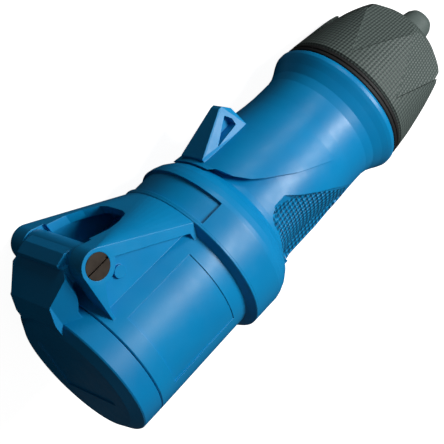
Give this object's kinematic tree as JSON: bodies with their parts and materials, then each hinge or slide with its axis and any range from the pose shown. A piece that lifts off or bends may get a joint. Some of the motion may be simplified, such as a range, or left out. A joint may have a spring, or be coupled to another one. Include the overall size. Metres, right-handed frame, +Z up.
{
  "type": "industrial pin and sleeve connector with sprung lid",
  "caption": "In-line cable connector with round contact sleeves in a shroud, a sprung hinged lid, a waisted grip with a finger fin and a faceted cable gland nut.",
  "frame": {"origin": "centre of the bounding box's length, under the connector's axis, on the surface that it lies on", "axes": "+X along the connector from the lid to the gland nut; +Z up; the lid's hinge points to +Y"},
  "size_m": [0.2222, 0.0913, 0.0727],
  "materials": {
    "housing_blue": "satin",
    "lid_blue": "satin",
    "insert_black": "matte",
    "contact_brass": "satin",
    "spring_steel": "satin",
    "plated_steel": "satin",
    "seal_rubber": "matte",
    "pin_steel": "satin",
    "seal_grey": "matte",
    "washer_plastic": "satin",
    "nut_grey": "matte"
  },
  "bodies": {
    "housing": {"front_housing": "housing_blue", "contact_carrier": "insert_black", "phase_contact": "contact_brass", "neutral_contact": "contact_brass", "earth_contact": "contact_brass", "contact_springs": "spring_steel", "terminal_screws": "plated_steel", "clamp_plates": "plated_steel", "carrier_screws": "plated_steel", "body_seal": "seal_rubber", "hinge_pin": "pin_steel", "lid_spring": "spring_steel", "grip_housing": "housing_blue", "gland_ring": "seal_rubber", "clamp_cage": "insert_black", "cable_seal": "seal_grey"},
    "lid_body": {"lid": "lid_blue", "lid_gasket": "seal_rubber"},
    "washer_body": {"thrust_washer": "washer_plastic"},
    "nut_body": {"gland_nut": "nut_grey"}
  },
  "joints": [
    {"name": "lid_hinge", "type": "hinge", "parent": "housing", "child": "lid_body", "pos_m": [-0.08817, 0.04088, 0.02589], "axis": [-0.0564, -0.3102, -0.949], "range_deg": [0, 110], "stiffness_Nm_per_rad": 0.08, "springref_deg": -45.84, "deforming": ["lid_spring"]},
    {"name": "nut_slide", "type": "slide", "parent": "housing", "child": "washer_body", "axis": [0.9982, 0, -0.0594], "range_m": [0, 0.008]},
    {"name": "nut_turn", "type": "hinge", "parent": "washer_body", "child": "nut_body", "pos_m": [0.05348, 0, 0.03083], "axis": [0.9982, 0, -0.0594], "range_deg": [0, 720]}
  ],
  "couplings": [
    {"joint": "nut_slide", "follows": "nut_turn", "m_per_rad": 0.00063662}
  ]
}
